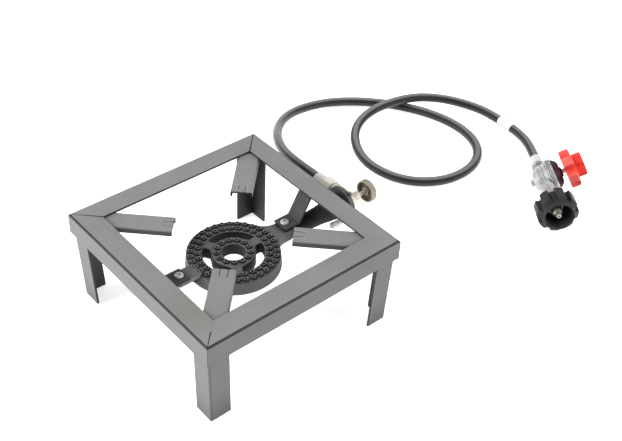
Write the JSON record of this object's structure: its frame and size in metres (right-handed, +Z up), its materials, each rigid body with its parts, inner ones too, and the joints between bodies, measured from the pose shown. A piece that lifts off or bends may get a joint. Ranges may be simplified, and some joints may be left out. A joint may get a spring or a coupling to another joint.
{
  "type": "propane burner stand",
  "caption": "Square welded steel pot stand with a cast-iron ring burner, a brass needle valve, a gas hose and a cylinder regulator.",
  "frame": {"origin": "on the floor, under the middle of the square stand", "axes": "+Z up, +X towards the gas inlet and its air shutter, +Y towards the side where the hose leaves the valve"},
  "size_m": [0.6582, 0.4139, 0.115],
  "materials": {
    "stand_paint": "grey satin powder coat on steel angle",
    "strap_steel": "dark grey painted steel strip",
    "zinc_plate": "bright zinc plate",
    "cast_iron": "raw sand-cast iron, matt black",
    "shutter_steel": "dark grey painted pressed steel",
    "brass": "bare machined brass",
    "black_rubber": "smooth black rubber with a soft sheen",
    "label_white": "blank white label tape",
    "die_cast": "bright die-cast metal",
    "bonnet_paint": "dark painted pressed bonnet",
    "red_plastic": "glossy red moulded plastic",
    "black_plastic": "black moulded plastic"
  },
  "bodies": {
    "stand": {"frame_bar_left": "stand_paint", "frame_bar_front": "stand_paint", "frame_bar_right": "stand_paint", "frame_bar_back": "stand_paint", "leg_left": "stand_paint", "leg_front": "stand_paint", "leg_right": "stand_paint", "leg_back": "stand_paint", "pot_arm_left": "stand_paint", "pot_arm_front": "stand_paint", "pot_arm_right": "stand_paint", "pot_arm_back": "stand_paint", "strap_left": "strap_steel", "strap_right": "strap_steel", "strap_bolts": "zinc_plate", "strap_nut": "zinc_plate", "burner": "cast_iron", "shutter_screw": "zinc_plate", "shutter_spring": "zinc_plate", "shutter_nut": "zinc_plate", "gas_orifice": "brass", "valve_body": "brass", "packing_nut": "brass", "valve_ferrule": "die_cast", "hose": "black_rubber", "hose_label": "label_white", "regulator_ferrule": "die_cast", "regulator_body": "die_cast", "vent_plug": "brass", "diaphragm": "black_rubber", "diaphragm_plate": "zinc_plate", "regulating_spring": "zinc_plate", "spring_button": "zinc_plate", "bonnet_ring": "die_cast", "regulator_bonnet": "bonnet_paint", "inlet_nipple": "brass", "nipple_seal": "black_rubber"},
    "air_shutter": {"air_shutter": "shutter_steel"},
    "valve_stem": {"valve_stem": "brass"},
    "valve_knob": {"valve_knob": "brass", "knob_screw": "zinc_plate"},
    "swivel_nut": {"swivel_nut": "brass"},
    "adjusting_screw": {"adjusting_screw": "zinc_plate"},
    "regulator_knob": {"regulator_knob": "red_plastic"},
    "gas_nut": {"gas_nut": "black_plastic"}
  },
  "joints": [
    {"name": "air_shutter_turn", "type": "hinge", "parent": "stand", "child": "air_shutter", "pos_m": [0.16045, 0, 0.0695], "axis": [1, 0, 0], "range_deg": [0, 80]},
    {"name": "valve_stem_slide", "type": "slide", "parent": "stand", "child": "valve_stem", "axis": [1, 0, 0], "range_m": [0, 0.0025]},
    {"name": "valve_knob_turn", "type": "hinge", "parent": "valve_stem", "child": "valve_knob", "pos_m": [0.2, 0, 0.0695], "axis": [1, 0, 0], "range_deg": [0, 900]},
    {"name": "swivel_nut_turn", "type": "hinge", "parent": "stand", "child": "swivel_nut", "pos_m": [0.1702, 0.03375, 0.0695], "axis": [0, 1, 0], "continuous": true},
    {"name": "adjusting_screw_slide", "type": "slide", "parent": "stand", "child": "adjusting_screw", "axis": [0.7139, -0.5204, 0.4685], "range_m": [0, 0.00375]},
    {"name": "regulator_knob_turn", "type": "hinge", "parent": "adjusting_screw", "child": "regulator_knob", "pos_m": [0.47458, -0.1041, 0.04322], "axis": [0.7139, -0.5204, 0.4685], "range_deg": [0, 1080]},
    {"name": "gas_nut_turn", "type": "hinge", "parent": "stand", "child": "gas_nut", "pos_m": [0.40067, -0.13847, 0.02804], "axis": [-0.6144, -0.7865, 0.0628], "continuous": true}
  ],
  "couplings": [
    {"joint": "valve_knob_turn", "follows": "valve_stem_slide", "rad_per_m": 6283.2},
    {"joint": "regulator_knob_turn", "follows": "adjusting_screw_slide", "rad_per_m": 5026.5}
  ]
}
